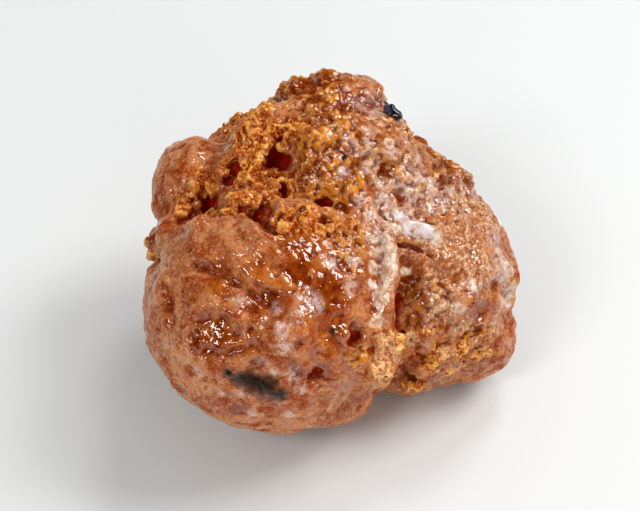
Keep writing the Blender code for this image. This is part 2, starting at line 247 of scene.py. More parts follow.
def numbers(items, name, width=3, kind=np.float32):
    """Reads a property of all the points or edges of a mesh, in one row for each."""
    flat = np.empty(len(items) * width, kind)
    items.foreach_get(name, flat)
    return flat.reshape(-1, width)


def points(mesh):
    """The place of each point of a mesh, and the direction that the skin faces there."""
    return numbers(mesh.vertices, "co").astype(float), numbers(mesh.vertex_normals, "vector").astype(float)


def store(mesh, name, values):
    """Keeps one number for each point of a mesh, under a name that nodes can read."""
    attribute = mesh.attributes.get(name) or mesh.attributes.new(name, "FLOAT", "POINT")
    attribute.data.foreach_set("value", np.clip(values, -MOST_STORED, MOST_STORED).astype(np.float32))


def ramp(values, start, end):
    """Rises smoothly from 0 at start to 1 at end."""
    share = np.clip((values - start) / (end - start), 0.0, 1.0)
    return share * share * (3.0 - 2.0 * share)


# %% [markdown]
# ## The camera
# The ball was seen from the front, looking down by 45 degrees, with a long lens that flattens it a little.
# The camera comes first, because small things are placed by where they lie in that picture.

# %% Camera
IMAGE_WIDTH, IMAGE_HEIGHT = 640, 511
LENS, SENSOR = 100.0, 36.0
EYE_DISTANCE = 190 * MM
MIDDLE = Vector((-0.16, 1.04, 16.0)) * MM
AIM_RIGHT, AIM_UP = -1.28 * MM, -0.37 * MM
ELEVATION = 45


def direction(azimuth, elevation):
    """The way from the ball to an eye or a light, in degrees round from the front and up."""
    around, over = radians(azimuth), radians(elevation)
    return Vector((sin(around) * cos(over), -cos(around) * cos(over), sin(over)))


eye_out = direction(0, ELEVATION)
eye_right = Vector((1, 0, 0))
eye_up = eye_out.cross(eye_right)
aim = MIDDLE + eye_right * AIM_RIGHT + eye_up * AIM_UP
camera = new_object("camera", bpy.data.cameras.new("camera"))
camera.data.lens = LENS
camera.data.sensor_width = SENSOR
camera.data.clip_start = 0.01
camera.location = aim + eye_out * EYE_DISTANCE
camera.rotation_euler = eye_out.to_track_quat("Z", "Y").to_euler()
bpy.context.scene.camera = camera
print("camera stands", round(EYE_DISTANCE / MM), "mm away")

# %% [markdown]
# ## The bare dough
# The solid's triangles are large and flat. Its copy gets an even skin of small squares, and a little
# smoothing rounds the facets off. The record of sharp edges goes first, as it belongs to the old triangles.

# %% Bare dough
BARE_CELL = 0.28
BARE_SMOOTHING = 4
WELD_REACH = 1e-6

welded = bmesh.new()
welded.from_mesh(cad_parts[SOLID].data)
bmesh.ops.remove_doubles(welded, verts=welded.verts, dist=WELD_REACH)
dough = finished_object("glazed_dough", welded)
dough.data.attributes.remove(dough.data.attributes["custom_normal"])
remesh(dough, BARE_CELL, BARE_SMOOTHING)
print("bare dough:", len(dough.data.vertices), "points")

# %% [markdown]
# ## Finding places on the ball
# A place is named by the picture it is seen in: the front picture in its own pixels, or a view from another
# side in millimetres right and up of the ball's middle. A ray from the eye through it hits the ball.
# A finish then covers a set of round places with soft, ragged edges, which slow noise breaks up.

# %% Places
BALL_ACROSS, BALL_DOWN = 332, 252
PIXEL = 0.1057 * MM
STEP_INWARDS = 0.02
SIDES = {"left": (-78, 12), "right": (84, 14), "back": (182, 24)}
EDGE_OUTSIDE, EDGE_INSIDE = -0.15, 0.35
SEED_STEPS = (7.1, 3.7, 1.3)


class Ball:
    """The ball's surface, as the eye finds it."""

    def __init__(self, made):
        self.tree = BVHTree.FromObject(made, bpy.context.evaluated_depsgraph_get())

    def at(self, view, across, upward):
        """The point of the surface under a place, and the direction that it faces."""
        if view == "front":
            shift = (across - IMAGE_WIDTH / 2, IMAGE_HEIGHT / 2 - upward)
            start = camera.location
            forward = -eye_out + (eye_right * shift[0] + eye_up * shift[1]) * (SENSOR / LENS / IMAGE_WIDTH)
        else:
            out = direction(*SIDES[view])
            right = Vector((-out.y, out.x, 0)).normalized()
            start = MIDDLE + out * EYE_DISTANCE
            forward = MIDDLE + (right * across + out.cross(right) * upward) * MM - start
        hit, facing = self.tree.ray_cast(start, forward.normalized())[:2]
        if hit is None:
            centre = (BALL_ACROSS, BALL_DOWN) if view == "front" else (0, 0)
            across, upward = (c + (a - c) * (1 - STEP_INWARDS) for c, a in zip(centre, (across, upward)))
            return self.at(view, across, upward)
        return hit, facing


def slow_noise(places, size, seed):
    """A slow random height from -1 to 1 at each place. Each seed gives another one."""
    shift = Vector([seed * step for step in SEED_STEPS])
    return np.array([noise.noise(Vector(p) / (size * MM) + shift) for p in places])


def cover(places, spots, ragged, ragged_noise, full=EDGE_INSIDE):
    """How far each point lies inside the nearest of the round places: 1 from full inwards, 0 outside."""
    inside = np.full(len(places), -1.0)
    for middle, radius in spots:
        away = np.linalg.norm(places - np.array(middle), axis=1) / radius
        inside = np.maximum(inside, 1.0 - away)
    return ramp(inside + ragged * ragged_noise, EDGE_OUTSIDE, full)


bpy.context.view_layer.update()
bare_ball = Ball(dough)
print("one pixel of the picture is", round(PIXEL / MM, 3), "mm on the ball")

# %% [markdown]
# ## Which finish is where
# Torn crumb lies round the split at the upper left and down the right flank of the front lobe. Glaze soaked
# into the upper right, and a milky film covers the three lobes. Where the film is thin the dark crust shows.
# Some spots of the milky film and of the sugar are painted glints and a painted sheen on the right rim.
# Each spot is a place across and down the picture with a radius, in pixels. The sides out of its sight are
# finished in the same way, with spots that name their view and are in millimetres.

# %% Finishes and where they are
TORN = [
    (184, 204, 13), (204, 188, 20), (233, 172, 15), (252, 142, 20), (254, 172, 26), (230, 198, 22),
    (252, 206, 18), (278, 134, 26), (276, 190, 28), (284, 224, 18), (306, 214, 18), (330, 226, 16),
    (300, 126, 14), (206, 216, 14), (262, 116, 18), (262, 150, 14), (246, 118, 11), (352, 226, 10),
    (392, 340, 18), (384, 365, 18), (374, 388, 14), (412, 338, 14), (412, 386, 14), (440, 352, 14),
    (462, 350, 12), (404, 360, 14), (428, 366, 12), (448, 374, 9), (472, 364, 9), (488, 342, 7),
]
SOAKED = [
    (330, 100, 40), (345, 150, 42), (400, 170, 40), (440, 200, 34), (400, 215, 34), (340, 195, 28),
    (352, 262, 16), (360, 240, 14), (345, 235, 20), (415, 286, 20), (440, 296, 18), (420, 322, 20),
    (360, 356, 14), (470, 330, 20), (300, 95, 22), (302, 158, 18), (306, 132, 22), (314, 154, 22),
    (312, 182, 22), (450, 374, 20), (484, 360, 18), (497, 336, 14), (430, 386, 14),
]
GLASSY = [
    (306, 262, 30), (345, 275, 34), (325, 300, 30), (350, 350, 22), (275, 296, 24), (350, 385, 14),
    (324, 340, 22), (218, 332, 22), (206, 346, 16), (250, 345, 14), (220, 275, 20), (254, 270, 22),
    (300, 372, 14), (240, 410, 12), (430, 300, 20), (458, 280, 15), (482, 316, 16), (452, 330, 16),
    (490, 232, 16), (470, 250, 14), (442, 258, 12), (484, 286, 12),
]
THIN_FILM = [
    (216, 274, 10), (230, 278, 10), (206, 268, 8), (254, 302, 12), (268, 300, 12), (200, 322, 14),
    (214, 340, 18), (200, 346, 12), (232, 346, 12), (196, 334, 12), (216, 326, 12), (300, 272, 20),
    (258, 364, 7), (296, 370, 9), (320, 372, 15), (236, 414, 11), (150, 246, 8), (152, 254, 7), (168, 306, 6),
    (180, 335, 5), (472, 188, 12), (500, 254, 9), (492, 218, 8), (300, 345, 6), (330, 290, 22),
    (486, 374, 14), (300, 250, 16), (502, 352, 9), (174, 396, 7), (340, 262, 14), (424, 318, 12),
    (406, 306, 9), (250, 330, 6), (228, 398, 6), (316, 98, 12), (342, 108, 12), (322, 124, 9), (366, 112, 8),
]
PALE = [
    (455, 245, 34), (480, 270, 30), (505, 290, 22), (440, 270, 18), (403, 266, 9), (404, 252, 7),
    (470, 225, 18), (498, 320, 14), (388, 342, 14), (386, 358, 14), (382, 374, 14), (376, 388, 12),
    (394, 352, 12), (410, 338, 10), (448, 352, 10), (446, 304, 20), (462, 326, 14), (432, 318, 12),
    (424, 284, 10), (391, 246, 7), (392, 258, 8), (390, 270, 8), (388, 282, 8), (385, 294, 8), (382, 306, 7),
    (380, 316, 6), (384, 236, 6), (398, 150, 16), (424, 178, 17), (446, 205, 15), (386, 186, 12),
    (412, 156, 12), (404, 196, 12), (428, 200, 12),
]
STAINED = [
    (228, 374, 8), (240, 379, 13), (252, 385, 19), (264, 389, 21), (276, 393, 16), (344, 156, 4),
    (450, 178, 4), (204, 381, 4), (332, 331, 6), (340, 326, 4),
]
# Milky film of glaze. Part of these spots paint a haze of glints instead: in the middle of the front lobe, on
# the upper right, and along the right rim, where they paint its sheen.
MILKY = [
    (365, 130, 9), (368, 142, 10), (370, 153, 10), (374, 164, 11), (378, 175, 11), (381, 187, 10),
    (386, 198, 11), (392, 208, 12), (402, 214, 14), (416, 222, 16), (428, 232, 13), (346, 140, 8),
    (352, 146, 7), (404, 140, 9), (420, 160, 9), (360, 200, 9), (372, 216, 10), (384, 226, 9), (376, 238, 9),
    (500, 262, 12), (508, 280, 13), (506, 300, 12), (494, 240, 9), (458, 306, 9), (474, 286, 8),
    (330, 262, 12), (350, 286, 12), (312, 302, 14), (296, 314, 10), (392, 150, 12), (408, 168, 13),
    (426, 180, 12), (414, 196, 12), (438, 212, 11), (400, 186, 12), (466, 214, 10), (356, 262, 10),
    (240, 300, 8), (282, 330, 10), (276, 310, 8), (346, 88, 6), (292, 374, 9), (262, 362, 7), (300, 388, 8),
    (240, 396, 7), (252, 416, 10), (290, 416, 8), (220, 396, 7), (274, 372, 6), (196, 372, 8), (286, 346, 10),
    (342, 170, 8), (440, 160, 8), (452, 200, 9), (430, 196, 9),
]
SET_GLAZE = [
    (400, 216, 7), (406, 219, 9), (413, 223, 11), (420, 227, 11), (427, 232, 9), (409, 226, 9), (417, 232, 8),
    (387, 241, 5), (390, 248, 4),
]
# Set sugar on the ridge. The spots along the right rim and the two at (458, 306) and (474, 286) paint a sheen
# and glints in the sugar's pale colour.
SUGAR_AND_SHEEN = [
    (370, 236, 6), (378, 238, 8), (386, 241, 9), (390, 249, 9), (391, 257, 9), (390, 265, 10), (389, 273, 10),
    (387, 281, 10), (385, 289, 10), (383, 297, 10), (381, 305, 10), (378, 314, 9), (374, 324, 8),
    (402, 262, 8), (405, 272, 7), (376, 252, 8), (374, 268, 8), (372, 284, 7), (506, 264, 10), (510, 276, 12),
    (511, 290, 12), (509, 302, 10), (500, 250, 8), (396, 228, 9), (436, 238, 9), (392, 214, 8), (458, 306, 6),
    (474, 286, 6),
]
OUT_OF_SIGHT = {
    "torn": [("back", -2.4, -4.6, 4.2), ("back", 0.4, -6.4, 3.6), ("back", -4.8, -1.6, 3.4),
             ("back", 3.4, -2, 3), ("left", -3, -6, 3), ("left", -5.4, -4.4, 2.4), ("right", 9, -6, 2.8),
             ("right", 10.6, -4.6, 2.2)],
    "soaked": [("back", 4, 5, 6.5), ("back", -8, 6, 5.5), ("back", 9, -2, 5), ("right", 9, 2, 5),
               ("left", -8, -5, 4)],
    "glassy": [("left", -5, -3, 3.5), ("right", -4, -4, 4), ("back", -4, 2, 4)],
    "thin": [("back", -9, -1, 3), ("back", 7, -6, 3.2), ("back", 2, 7, 3), ("back", -3, 9, 2.6),
             ("left", -6, -3, 2.6), ("left", -9, -4, 2.4), ("left", -2, -9, 2.6), ("left", -2, -4, 2),
             ("right", 5, 4, 3), ("right", 9, -2, 2.6), ("right", -8, -3, 2.4), ("right", 0, -2, 2)],
    "pale": [("right", 2, 2, 4.5), ("right", -4, 6, 4), ("back", -6, 3, 4)],
    "stained": [("back", -4.6, -8.4, 2), ("left", -3, -8, 1.8), ("right", 11, -8, 1.6)],
    "milky": [("back", 6, 0, 3), ("back", -5, 8, 3), ("back", 2, -1, 2), ("left", -7, -5, 2.4),
              ("left", -4, -8, 2), ("right", 2, 6, 3), ("right", 8, -1, 2.4), ("right", -2, -3, 2)],
    "set": [("back", 0.6, 2.2, 1.8), ("back", 1.8, 1.4, 1.2), ("right", 6, -3, 1.2), ("left", -6, -5.5, 1)],
    "sugar_and_sheen": [("back", 1.2, 1.8, 2.4), ("right", 6, -3, 1.8), ("left", -6, -5.5, 1.6)],
}
# How ragged each finish's edge is. Their order also picks the noise that breaks each edge up.
FINISHES = {"torn": (TORN, 0.45), "soaked": (SOAKED, 0.35), "thin": (THIN_FILM, 0.6), "pale": (PALE, 0.35),
            "stained": (STAINED, 0.35), "milky": (MILKY, 0.6), "set": (SET_GLAZE, 0.45),
            "sugar_and_sheen": (SUGAR_AND_SHEEN, 0.5), "glassy": (GLASSY, 0.5)}
SOFT_EDGES = {"stained": 0.9, "milky": 0.7, "sugar_and_sheen": 0.6}
RAGGED_SIZE, RAGGED_FINE_SHARE = 1.6, 0.6


def found_places(finish):
    """Middles and radii, in metres, of the spots of a finish."""
    seen = [(bare_ball.at("front", *pixel)[0], radius * PIXEL) for *pixel, radius in FINISHES[finish][0]]
    hidden = [(bare_ball.at(*place)[0], radius * MM) for *place, radius in OUT_OF_SIGHT[finish]]
    return seen + hidden


finish_spots = {finish: found_places(finish) for finish in FINISHES}


def store_finishes(mesh):
    """Works out each finish at each point of a mesh and stores it there."""
    places = points(mesh)[0]
    shares = {}
    for number, (name, (_, ragged)) in enumerate(FINISHES.items()):
        fine = slow_noise(places, RAGGED_SIZE / 3, number + len(FINISHES))
        wander = slow_noise(places, RAGGED_SIZE, number) + RAGGED_FINE_SHARE * fine
        shares[name] = cover(places, finish_spots[name], ragged, wander, SOFT_EDGES.get(name, EDGE_INSIDE))
        store(mesh, name, shares[name])
    return shares


shares = store_finishes(dough.data)
for name, share in shares.items():
    print(f"{name}: {share.mean():.0%} of the skin")

# %% [markdown]
# ## Folds in the film
# As the lobe swelled, its skin wrinkled into folds: a groove with a rounded ridge along its upper side. Each
# is a line of pixels with a width and a depth in mm, and moves the points near the line. A depth below 0
# makes a rim. Round swells and dents are made in the same way, each from a pixel, a radius and a height.

# %% Folds
FOLDS = {
    "long_fold": ([(194, 264), (210, 271), (226, 276), (240, 283), (256, 292), (268, 303)], 0.55, 0.5),
    "upper_fold": ([(214, 262), (228, 268), (242, 273)], 0.4, 0.25),
    "patch_rim": ([(188, 336), (196, 322), (212, 316), (226, 322), (240, 334)], 0.6, 0.4),
    "patch_foot": ([(204, 352), (220, 358), (238, 352), (252, 344)], 0.5, 0.35),
    "low_fold": ([(226, 402), (250, 408), (276, 412), (304, 410)], 0.45, 0.3),
    "lowest_fold": ([(240, 418), (270, 424), (300, 422), (326, 414)], 0.45, 0.3),
    "swirl": ([(250, 366), (270, 358), (290, 362), (300, 374), (292, 386)], 0.5, 0.25),
    "left_crease": ([(164, 286), (168, 300), (172, 316)], 0.45, 0.35),
    "left_nick": ([(146, 262), (156, 258), (166, 264)], 0.5, 0.35),
    "cheek_fold": ([(176, 362), (196, 372), (214, 384)], 0.5, 0.25),
    "right_fold": ([(430, 262), (442, 280), (446, 300)], 0.5, 0.35),
    "right_low_fold": ([(440, 318), (462, 330), (488, 330)], 0.55, 0.35),
    "rim_of_lobe": ([(386, 238), (392, 252), (391, 268), (388, 284), (384, 300), (381, 314)], 0.7, -0.55),
    "lip_rim": ([(177, 231), (201, 222), (223, 213), (242, 219), (255, 231), (268, 240), (283, 242)],
                0.5, -0.45),
    "behind_lip": ([(180, 222), (201, 212), (222, 203), (246, 209), (262, 224), (276, 233)], 0.45, 0.6),
}
RIDGE_SHARE, RIDGE_AWAY = 0.45, 1.7
SWELLS = {
    "block at the top": [
        (290, 86, 1.2, 0.7), (275, 95, 1.8, -1.8), (376, 92, 1.5, 0.6), (396, 128, 1.3, 0.5),
        (336, 77, 1.4, -0.5), (366, 80, 1.5, -0.5), (388, 98, 1.3, -0.8), (405, 127, 0.6, 0.7),
    ],
    "brow": [(216, 131, 1.4, -0.6), (264, 112, 1.3, 0.6), (300, 104, 1.2, -0.5)],
    "right shoulder": [
        (466, 176, 1.2, 0.6), (424, 142, 1.8, -0.9), (450, 162, 1.8, -1.0), (492, 204, 2.0, -1.0),
        (496, 206, 1.6, -0.3),
    ],
    "right lobe": [
        (516, 250, 2.6, -1.3), (506, 350, 3.0, -1.2), (480, 376, 2.6, -1.2), (452, 392, 2.0, -0.7),
        (517, 303, 1.4, 0.7), (519, 276, 1.2, -0.6), (513, 318, 2.4, -0.9),
    ],
    "lip of the split": [
        (230, 226, 1.4, 0.4), (300, 250, 1.6, 0.4), (262, 244, 1.2, 0.5), (196, 232, 1.3, 0.4),
        (190, 214, 0.9, -0.7), (216, 206, 0.9, -0.6),
    ],
    "front lobe": [
        (196, 300, 2.0, 0.3), (250, 296, 1.6, -0.5), (212, 334, 2.0, -0.6), (276, 344, 1.8, 0.5),
        (240, 318, 1.4, 0.4), (256, 384, 1.6, -0.5), (300, 400, 1.8, 0.4), (340, 250, 1.5, -0.4),
        (149, 278, 2.2, 0.7), (374, 330, 1.2, 0.5),
    ],
    "foot": [
        (356, 413, 2.8, -1.6), (368, 404, 1.6, -1.0), (405, 392, 1.6, 0.5), (262, 428, 2.5, -0.8),
        (216, 404, 2.2, -0.8),
    ],
    "gap beside the front lobe": [
        (402, 292, 0.9, -0.8), (400, 310, 0.9, -1.0), (402, 326, 0.9, -0.7), (412, 366, 1.2, -0.9),
        (404, 262, 0.9, -0.6), (414, 225, 1.4, -0.4),
    ],
    "left lobe": [(160, 158, 2.2, 0.4), (158, 210, 1.2, 0.6), (149, 232, 1.5, -0.7), (147, 252, 1.4, -0.4)],
}
THIN_FILM_SINK = 0.22


def fold_profile(away, side, width, depth):
    """How far a fold moves the skin: down in its groove, and up along its upper side."""
    groove = -depth * np.exp(-(away / width) ** 2)
    ridge = depth * RIDGE_SHARE * np.exp(-((away - RIDGE_AWAY * width) / width) ** 2) * (side > 0)
    return groove + ridge


def fold_skin(mesh, ball):
    places, facing = points(mesh)
    moved = np.zeros(len(places))
    for line, width, depth in FOLDS.values():
        on_skin = [np.array(ball.at("front", *pixel)[0]) for pixel in line]
        nearest = np.full(len(places), 1.0)
        side = np.zeros(len(places))
        for start, end in zip(on_skin, on_skin[1:]):
            along = end - start
            share = np.clip((places - start) @ along / (along @ along), 0, 1)
            gap = places - (start + share[:, None] * along)
            away = np.linalg.norm(gap, axis=1)
            side = np.where(away < nearest, gap @ np.array(eye_up), side)
            nearest = np.minimum(away, nearest)
        moved += fold_profile(nearest / MM, side, width, depth)
    for across, down, radius, height in sum(SWELLS.values(), []):
        away = np.linalg.norm(places - np.array(ball.at("front", across, down)[0]), axis=1)
        moved += height * np.exp(-(away / (radius * MM)) ** 2)
    moved -= THIN_FILM_SINK * shares["thin"] * (1 - shares["torn"])
    mesh.vertices.foreach_set("co", (places + facing * moved[:, None] * MM).astype(np.float32).ravel())
    mesh.update()
    print("folds move the skin by", round(moved.min(), 2), "to", round(moved.max(), 2), "mm")


fold_skin(dough.data, bare_ball)
bpy.context.view_layer.update()
folded_ball = Ball(dough)

# %% [markdown]
# ## The foam of the crumb
# Cake crumb is a foam: steam blew bubbles of many sizes, and where the crust tore they lie open. Geometry
# Nodes scatter rounded bubbles over the torn skin, in two sizes, sunk by a share of their radius.

# %% Small bubbles
FOAM = [
    {"Largest radius": 0.62, "Smallest radius": 0.34, "Spacing": 2.3, "Sink share": 0.5, "Seed": 3},
    {"Largest radius": 0.34, "Smallest radius": 0.20, "Spacing": 1.2, "Sink share": 0.35, "Seed": 23},
]
MOST_POINTS = 4e7
SQUASHED = (0.65,) * 3, (1.25,) * 3
FULL_TURN = 6.28
BUBBLE_POINTS = 42

# Brown crust, golden torn crumb and amber soaked crumb under clear and milky sugar. It is painted later on.
dough_material, dough_tree, dough_shader = new_material("fried_dough_under_sugar_glaze")


def scatter_points(tree, given, share):
    """Points on the skin where the share is high, never closer to one another than the spacing."""
    return add_node(tree, "GeometryNodeDistributePointsOnFaces", {
        "Mesh": given["Geometry"], "Distance Min": combine(tree, "MULTIPLY", given["Spacing"], MM),
        "Density Max": MOST_POINTS, "Density Factor": share, "Seed": given["Seed"],
    }, distribute_method="POISSON").outputs


def chances(tree, *ranges):
    """Random vectors, one for each least, most and seed."""
    return [add_node(tree, "FunctionNodeRandomValue", {0: least, 1: most, "Seed": seed},
                     data_type="FLOAT_VECTOR").outputs[0] for least, most, seed in ranges]


def scale_vector(tree, vector, by):
    """A vector made longer or shorter, such as a normal that turns into a shift."""
    return add_node(tree, "ShaderNodeVectorMath", {0: vector, "Scale": by}, operation="SCALE").outputs[0]


def bubble_tree():
    """Bubbles over the torn skin, squashed and turned by chance, and sunk by a share of their size."""
    tree, given, result = new_geometry_tree("open_bubbles", FOAM[0])
    scatter = scatter_points(tree, given, stored(tree, "torn")[0])
    chance = add_node(tree, "FunctionNodeRandomValue", {2: 0.0, 3: 1.0, "Seed": given["Seed"]}).outputs[1]
    large_is_rare = combine(tree, "POWER", chance, 2.0)
    radius = mask(tree, large_is_rare, 0.0, 1.0, given["Smallest radius"], given["Largest radius"], "LINEAR")
    scale = combine(tree, "MULTIPLY", radius, MM)
    down = combine(tree, "MULTIPLY", scale, given["Sink share"], -1.0)
    sunk = add_node(tree, "GeometryNodeSetPosition", {
        "Geometry": scatter["Points"], "Offset": scale_vector(tree, scatter["Normal"], down),
    })
    squash, turn = chances(tree, (*SQUASHED, given["Seed"]), ((0, 0, 0), (FULL_TURN,) * 3, 5))
    ball = add_node(tree, "GeometryNodeMeshIcoSphere", {"Radius": 1.0, "Subdivisions": 2})
    bubbles = add_node(tree, "GeometryNodeInstanceOnPoints", {
        "Points": sunk.outputs[0], "Instance": ball.outputs["Mesh"], "Rotation": turn,
        "Scale": scale_vector(tree, squash, scale),
    })
    end_geometry_tree(tree, result, bubbles.outputs[0], dough_material)
    return tree


# %% [markdown]
# ## The deep pores
# The pores that show are placed one by one, each from a pixel with three radii in mm and a turn in degrees.
# A ring of balls widens the great pore's rim. One Boolean then takes all the balls and bubbles out of the
# dough at once, which is faster and cleaner than a cut for each.

# %% Pores and carving
PORES = {
    "great pore": [(281, 159, (1.85, 1.75, 1.3), 0)],
    "small pores": [
        (274, 136, (1, 0.9, 1.7), 0), (236, 168, (0.75, 0.85, 1), 20), (226, 181, (0.6, 0.5, 0.8), 0),
        (252, 155, (0.6, 0.5, 0.4), 30), (317, 166, (0.5, 0.6, 0.5), 0),
    ],
    "split": [
        (208, 204, (0.7, 1.2, 1.2), -20), (262, 214, (0.6, 1.6, 1.6), 0), (283, 193, (0.7, 1.3, 1.5), 10),
        (276, 222, (0.5, 0.9, 0.9), 15), (322, 202, (1.3, 0.4, 1), 8), (340, 204, (0.8, 0.35, 0.8), 0),
        (327, 219, (0.8, 0.7, 1.1), 0),
    ],
    "gap beside the front lobe": [
        (398, 300, (0.45, 0.9, 1), -10), (397, 313, (0.55, 0.9, 1.2), 0), (396, 327, (0.6, 0.6, 1.1), 0),
    ],
    "under the pool": [
        (402, 245, (0.8, 0.4, 0.8), -20), (416, 249, (1, 0.35, 0.8), -25), (430, 256, (0.7, 0.3, 0.5), -40),
    ],
    "flank": [
        (351, 339, (0.8, 1.1, 1.1), -30), (404, 372, (0.6, 0.9, 0.9), 20), (446, 344, (0.5, 0.4, 0.5), 0),
        (432, 362, (0.5, 0.4, 0.5), 0), (372, 352, (0.5, 0.6, 0.6), 0), (315, 373, (1, 0.8, 0.8), 20),
        (418, 357, (0.6, 0.6, 0.8), 0),
    ],
}
PORES_OUT_OF_SIGHT = [
    ("back", -2, -5, (1.3, 1.1, 1.3), 0), ("back", 1.6, -7, (0.8, 0.7, 0.9), 0),
    ("left", -3.4, -6, (0.9, 0.7, 0.9), 0), ("right", 9.4, -6, (0.8, 0.8, 0.8), 0),
]
GREAT_PORE_RIM = [(270, 150), (281, 146), (291, 151), (295, 162), (289, 171), (277, 173), (268, 163)]
GREAT_PORE_RIM_RADII = (0.95, 0.95, 0.9)
CUTTER_CELL = 0.16


def add_lying_ball(shape, ball, view, across, upward, radii, turned, rounds):
    """Adds a ball squashed to its radii that lies on the skin at a place, turned about the way it faces."""
    place, facing = ball.at(view, across, upward)
    across = Vector((1, 0, 0)) - facing * facing.x
    stand = Matrix((across.normalized(), facing.cross(across).normalized(), facing)).transposed().to_4x4()
    lie = Matrix.Translation(place) @ stand @ Matrix.Rotation(radians(turned), 4, "Z")
    lie = lie @ Matrix.Diagonal((*(radius * MM for radius in radii), 1.0))
    return place, bmesh.ops.create_icosphere(shape, subdivisions=rounds, radius=1.0, matrix=lie)["verts"]


foam = bmesh.new()
rim = [(*pixel, GREAT_PORE_RIM_RADII, 0) for pixel in GREAT_PORE_RIM]
for pore in PORES_OUT_OF_SIGHT + [("front", *pore) for pore in sum(PORES.values(), rim)]:
    add_lying_ball(foam, folded_ball, *pore, 3)
bubbles = bubble_tree()
for sizes in FOAM:
    made = grow(dough, bubbles, sizes)
    foam.from_mesh(made)
    print("bubbles down to", sizes["Smallest radius"], "mm:", len(made.vertices) // BUBBLE_POINTS)
    bpy.data.meshes.remove(made)
cutter = finished_object("foam", foam)
remesh(cutter, CUTTER_CELL, 0)

whole_skin = dough.data.copy()
carve = dough.modifiers.new("carve", "BOOLEAN")
carve.operation, carve.solver, carve.object = "DIFFERENCE", "MANIFOLD", cutter
apply_modifiers(dough)
bpy.data.objects.remove(cutter)
print("carved dough:", len(dough.data.vertices), "points")

# %% [markdown]
# ## Fine relief
# Every finish has its own fine relief. Torn crumb is granular, soaked crumb is lumpy but rounded by its
# glaze, and the film has low wrinkles. One tree moves the skin along its normals by the sum of the three,
# each weighted by the finish that is stored on the mesh.

# %% Fine relief
SKIN_CELL = 0.17
RELIEF_SIZES = {
    "Grain size": 0.5, "Grain height": 0.4, "Crag size": 1.7, "Crag height": 3.0,
    "Lump size": 1.5, "Lump height": 1.7, "Bead size": 0.85, "Bead height": 0.75,
    "Wrinkle size": 2.6, "Wrinkle height": 0.7, "Pimple size": 0.7, "Pimple height": 0.2,
}
SUGAR_EVENS_OUT = 0.65
MEAN_OF_WAVES, MEAN_OF_GRAINS = 0.5, 0.45


def relief_tree():
    """Moves the skin along its normals by the relief of each finish, as far as that finish reaches."""
    tree, given, result = new_geometry_tree("fine_relief", RELIEF_SIZES)
    where = add_node(tree, "GeometryNodeInputPosition").outputs[0]
    facing = add_node(tree, "GeometryNodeInputNormal").outputs[0]
    torn, soaked, covered, sugar_and_sheen = stored(tree, "torn", "soaked", "set", "sugar_and_sheen")
    times, plus = partial(combine, tree, "MULTIPLY"), partial(combine, tree, "ADD")

    def waves(name, detail, distortion):
        pattern = add_node(tree, "ShaderNodeTexNoise", {
            "Vector": where, "Scale": combine(tree, "DIVIDE", 1 / MM, given[f"{name} size"]),
            "Detail": detail, "Distortion": distortion,
        }).outputs[0]
        return times(combine(tree, "SUBTRACT", pattern, MEAN_OF_WAVES), given[f"{name} height"])

    def grains(name):
        pattern = add_node(tree, "ShaderNodeTexVoronoi", {
            "Vector": where, "Scale": combine(tree, "DIVIDE", 1 / MM, given[f"{name} size"]),
            "Smoothness": 0.6,
        }, feature="SMOOTH_F1").outputs[0]
        return times(combine(tree, "SUBTRACT", MEAN_OF_GRAINS, pattern), given[f"{name} height"])

    bare = combine(tree, "SUBTRACT", 1.0, combine(tree, "MAXIMUM", covered, times(sugar_and_sheen, SUGAR_EVENS_OUT)))
    whole = combine(tree, "SUBTRACT", 1.0, torn)
    filmed = combine(tree, "MAXIMUM", combine(tree, "SUBTRACT", whole, soaked), 0.0)
    crumb = times(torn, plus(grains("Grain"), waves("Crag", 3.0, 0.4)))
    lumps = times(soaked, whole, plus(grains("Bead"), waves("Lump", 1.0, 0.3)))
    wrinkles = times(filmed, plus(waves("Wrinkle", 2.0, 1.6), waves("Pimple", 1.0, 0.0)))
    shift = scale_vector(tree, facing, times(plus(lumps, wrinkles, crumb), bare, MM))
    moved = add_node(tree, "GeometryNodeSetPosition", {"Geometry": given["Geometry"], "Offset": shift})
    end_geometry_tree(tree, result, moved.outputs[0], dough_material)
    return tree


remesh(dough, SKIN_CELL, 1)
store_finishes(dough.data)
dough.data = grow(dough, relief_tree(), RELIEF_SIZES)
print("skin:", len(dough.data.vertices), "points")

# %% [markdown]
# ## Thinning the skin
# The even skin has more triangles than it needs where it is smooth. Decimate merges those and keeps the
# detail where the skin bends. Scraps that the bubbles cut loose are dropped, so one closed skin is left.

# %% Thin the skin
MOST_TRIANGLES = 196000


def keep_largest_skin(mesh):
    """Keeps the connected skin with the most points. Each point takes the lowest number next to it, until all
    the points of a skin share one number."""
    first, second = numbers(mesh.edges, "vertices", 2, np.int32).T
    label = np.arange(len(mesh.vertices))
    while True:
        lowest = np.minimum(label[first], label[second])
        fresh = label.copy()
        np.minimum.at(fresh, first, lowest)
        np.minimum.at(fresh, second, lowest)
        fresh = fresh[fresh]
        if np.array_equal(fresh, label):
            break
        label = fresh
    kept = np.bincount(label).argmax()
    shape = bmesh.new()
    shape.from_mesh(mesh)
    loose = [vertex for vertex, name in zip(shape.verts, label) if name != kept]
    bmesh.ops.delete(shape, geom=loose, context="VERTS")
    shape.to_mesh(mesh)
    shape.free()
    print("scraps dropped:", len(loose), "points")


keep_largest_skin(dough.data)
smooth(dough, 1)
thin = dough.modifiers.new("thin", "DECIMATE")
thin.ratio = min(1.0, MOST_TRIANGLES / (2 * len(dough.data.polygons)))
thin.use_collapse_triangulate = True
apply_modifiers(dough)
print("thinned skin:", len(dough.data.polygons), "triangles")

